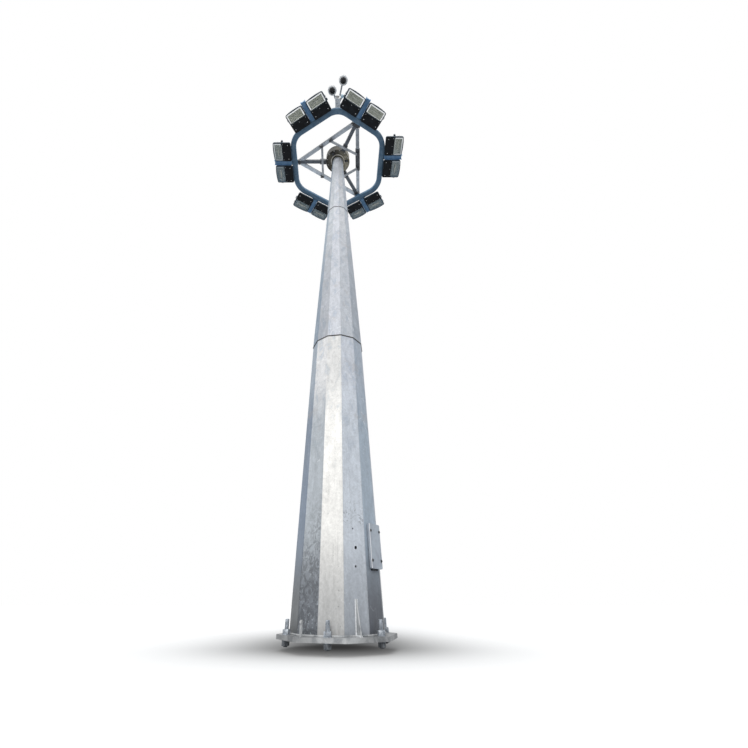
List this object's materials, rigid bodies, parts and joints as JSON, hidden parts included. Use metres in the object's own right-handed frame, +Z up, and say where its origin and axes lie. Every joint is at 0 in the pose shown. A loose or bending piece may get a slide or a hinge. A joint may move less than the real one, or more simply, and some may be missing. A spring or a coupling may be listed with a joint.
{
  "type": "high mast floodlight tower",
  "caption": "Tapered twelve-sided galvanized mast on an anchor flange, with a service door, a hexagonal lamp ring of tilting floodlights, and cameras on the ring.",
  "frame": {"origin": "centre of the base flange's underside", "axes": "+Z up the mast; -Y towards the side with the cameras and, to its right, the service door; +X to the right seen from there"},
  "size_m": [4.7718, 5.1284, 12.695],
  "materials": {
    "galvanized": "hot-dip galvanized, spangled and matt",
    "ring_paint": "satin slate blue paint",
    "drum_steel": "weathered brown-grey paint",
    "dark_cleat": "dark painted steel",
    "lamp_black": "black powder coat",
    "lamp_glass": "clear toughened glass",
    "camera_white": "light grey plastic",
    "camera_black": "glossy black plastic"
  },
  "bodies": {
    "mast": {"base_flange": "galvanized", "shaft_foot": "galvanized", "shaft_lower": "galvanized", "shaft_middle": "galvanized", "shaft_top": "galvanized", "base_gussets": "galvanized", "earthing_lugs": "galvanized", "door_frame": "galvanized", "lamp_ring": "ring_paint", "head_drum": "drum_steel", "head_collar": "drum_steel", "ring_saddles": "galvanized", "radial_arms": "galvanized", "triangle_chords": "galvanized", "cross_bars": "galvanized", "chord_cleats": "dark_cleat", "frame_sleeves": "dark_cleat", "lamp_brackets": "ring_paint", "yoke_bars": "ring_paint", "yoke_legs": "lamp_black", "camera_post": "galvanized", "camera_arms": "galvanized", "dome_housings": "camera_white", "bullet_camera": "camera_white", "light_sensor": "camera_white"},
    "door": {"door_cover": "galvanized"},
    "dome_right": {"dome_ball_right": "camera_black"},
    "dome_left": {"dome_ball_left": "camera_black"},
    "floodlight_01": {"floodlight_01_housing": "lamp_black", "floodlight_01_glass": "lamp_glass"},
    "floodlight_02": {"floodlight_02_housing": "lamp_black", "floodlight_02_glass": "lamp_glass"},
    "floodlight_03": {"floodlight_03_housing": "lamp_black", "floodlight_03_glass": "lamp_glass"},
    "floodlight_04": {"floodlight_04_housing": "lamp_black", "floodlight_04_glass": "lamp_glass"},
    "floodlight_05": {"floodlight_05_housing": "lamp_black", "floodlight_05_glass": "lamp_glass"},
    "floodlight_06": {"floodlight_06_housing": "lamp_black", "floodlight_06_glass": "lamp_glass"},
    "floodlight_07": {"floodlight_07_housing": "lamp_black", "floodlight_07_glass": "lamp_glass"},
    "floodlight_08": {"floodlight_08_housing": "lamp_black", "floodlight_08_glass": "lamp_glass"},
    "floodlight_09": {"floodlight_09_housing": "lamp_black", "floodlight_09_glass": "lamp_glass"},
    "floodlight_10": {"floodlight_10_housing": "lamp_black", "floodlight_10_glass": "lamp_glass"},
    "floodlight_11": {"floodlight_11_housing": "lamp_black", "floodlight_11_glass": "lamp_glass"},
    "floodlight_12": {"floodlight_12_housing": "lamp_black", "floodlight_12_glass": "lamp_glass"}
  },
  "joints": [
    {"name": "service_door_hinge", "type": "hinge", "parent": "mast", "child": "door", "pos_m": [0.46691, -0.16936, 0.68213], "axis": [-0.01, 0.0078, 0.9999], "range_deg": [0, 100]},
    {"name": "floodlight_01_tilt", "type": "hinge", "parent": "mast", "child": "floodlight_01", "pos_m": [2.056, -0.705, 11.918], "axis": [0, -1, 0], "range_deg": [0, 42]},
    {"name": "floodlight_02_tilt", "type": "hinge", "parent": "mast", "child": "floodlight_02", "pos_m": [2.056, 0.125, 11.918], "axis": [0, -1, 0], "range_deg": [0, 42]},
    {"name": "floodlight_03_tilt", "type": "hinge", "parent": "mast", "child": "floodlight_03", "pos_m": [1.50864, 1.50305, 11.918], "axis": [0.866, -0.5, 0], "range_deg": [0, 42]},
    {"name": "floodlight_04_tilt", "type": "hinge", "parent": "mast", "child": "floodlight_04", "pos_m": [0.78984, 1.91805, 11.918], "axis": [0.866, -0.5, 0], "range_deg": [0, 42]},
    {"name": "floodlight_05_tilt", "type": "hinge", "parent": "mast", "child": "floodlight_05", "pos_m": [-0.72056, 1.95805, 11.918], "axis": [0.866, 0.5, 0], "range_deg": [0, 42]},
    {"name": "floodlight_06_tilt", "type": "hinge", "parent": "mast", "child": "floodlight_06", "pos_m": [-1.43936, 1.54305, 11.918], "axis": [0.866, 0.5, 0], "range_deg": [0, 42]},
    {"name": "floodlight_07_tilt", "type": "hinge", "parent": "mast", "child": "floodlight_07", "pos_m": [-2.056, 0.335, 11.918], "axis": [0, 1, 0], "range_deg": [0, 42]},
    {"name": "floodlight_08_tilt", "type": "hinge", "parent": "mast", "child": "floodlight_08", "pos_m": [-2.056, -0.495, 11.918], "axis": [0, 1, 0], "range_deg": [0, 42]},
    {"name": "floodlight_09_tilt", "type": "hinge", "parent": "mast", "child": "floodlight_09", "pos_m": [-1.37008, -1.58305, 11.918], "axis": [-0.866, 0.5, 0], "range_deg": [0, 42]},
    {"name": "floodlight_10_tilt", "type": "hinge", "parent": "mast", "child": "floodlight_10", "pos_m": [-0.65128, -1.99805, 11.918], "axis": [-0.866, 0.5, 0], "range_deg": [0, 42]},
    {"name": "floodlight_11_tilt", "type": "hinge", "parent": "mast", "child": "floodlight_11", "pos_m": [0.49972, -2.08555, 11.918], "axis": [-0.866, -0.5, 0], "range_deg": [0, 42]},
    {"name": "floodlight_12_tilt", "type": "hinge", "parent": "mast", "child": "floodlight_12", "pos_m": [1.21853, -1.67055, 11.918], "axis": [-0.866, -0.5, 0], "range_deg": [0, 42]},
    {"name": "dome_right_pan", "type": "hinge", "parent": "mast", "child": "dome_right", "pos_m": [0.185, -2.61, 12.4], "axis": [0, 0, 1], "continuous": true},
    {"name": "dome_left_pan", "type": "hinge", "parent": "mast", "child": "dome_left", "pos_m": [-0.19, -2.32, 12.4], "axis": [0, 0, 1], "continuous": true}
  ]
}
